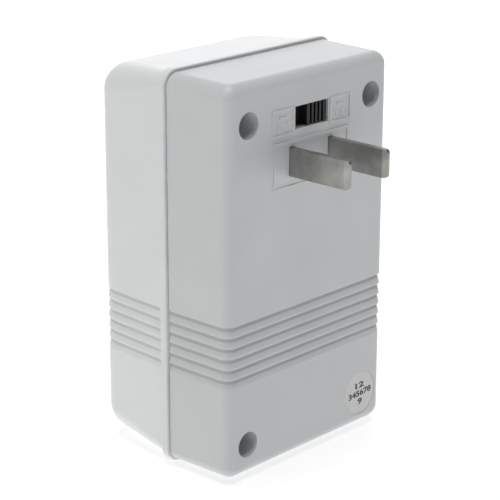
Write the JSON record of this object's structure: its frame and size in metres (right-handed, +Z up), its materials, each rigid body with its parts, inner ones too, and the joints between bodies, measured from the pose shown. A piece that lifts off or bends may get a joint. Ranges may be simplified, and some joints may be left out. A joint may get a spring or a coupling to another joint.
{
  "type": "travel voltage converter",
  "caption": "Two-shell travel voltage converter with a fixed flat-blade plug, a voltage slide switch and a universal output socket.",
  "frame": {"origin": "centre of the overall box on the surface that the object stands on", "axes": "+Z up along the longest side, +Y out of the back face along the plug blades, -Y out of the socket face, +X to the side of the switch's second position"},
  "size_m": [0.0546, 0.0588, 0.0908],
  "materials": {
    "front_shell_plastic": "fine satin moulded ABS, warm white",
    "rear_shell_plastic": "fine satin moulded ABS, white",
    "screw_steel": "blackened zinc plating",
    "sticker_paper": "coated paper, printed with plain numbers",
    "blade_nickel": "bright nickel plating on brass",
    "inner_plastic": "natural moulded nylon",
    "frame_steel": "zinc plated sheet steel",
    "board_plastic": "brown laminated board",
    "contact_brass": "pressed spring brass",
    "knob_plastic": "black moulded nylon",
    "tinned_wire": "tinned copper wire",
    "core_steel": "stacked silicon steel sheet, varnished",
    "bobbin_plastic": "glass filled nylon",
    "winding_copper": "enamelled copper wire, wound in layers",
    "coil_tape": "yellow polyester tape",
    "fuse_metal": "plain metal case and leads",
    "sleeve_plastic": "heat resistant sleeve",
    "lead_red": "PVC insulation",
    "lead_yellow": "PVC insulation",
    "lead_black": "PVC insulation",
    "lead_blue": "PVC insulation",
    "lead_white": "PVC insulation"
  },
  "bodies": {
    "housing": {"front_shell": "front_shell_plastic", "rear_shell": "rear_shell_plastic", "housing_screws": "screw_steel", "inspection_sticker": "sticker_paper", "plug_blade_left": "blade_nickel", "plug_blade_right": "blade_nickel", "blade_clamp": "inner_plastic", "blade_clamp_screws": "screw_steel", "switch_frame": "frame_steel", "switch_base": "board_plastic", "switch_terminals": "contact_brass", "switch_links": "tinned_wire", "core_e_stack": "core_steel", "core_i_stack": "core_steel", "coil_bobbin": "bobbin_plastic", "inner_winding": "winding_copper", "interlayer_tape": "coil_tape", "outer_winding": "winding_copper", "outer_tape": "coil_tape", "thermal_fuse": "fuse_metal", "fuse_sleeve": "sleeve_plastic", "contact_carrier": "inner_plastic", "carrier_screws": "screw_steel", "socket_contact_left": "contact_brass", "socket_contact_right": "contact_brass", "lead_low_tap": "lead_red", "lead_high_tap": "lead_yellow", "lead_blade": "lead_black", "lead_socket": "lead_blue", "lead_common_socket": "lead_white", "lead_common_fuse": "lead_white", "lead_common_coil": "lead_white"},
    "switch": {"switch_slider": "knob_plastic", "switch_contacts": "contact_brass"}
  },
  "joints": [
    {"name": "switch_slide", "type": "slide", "parent": "housing", "child": "switch", "axis": [1, 0, 0], "range_m": [0, 0.004]}
  ]
}
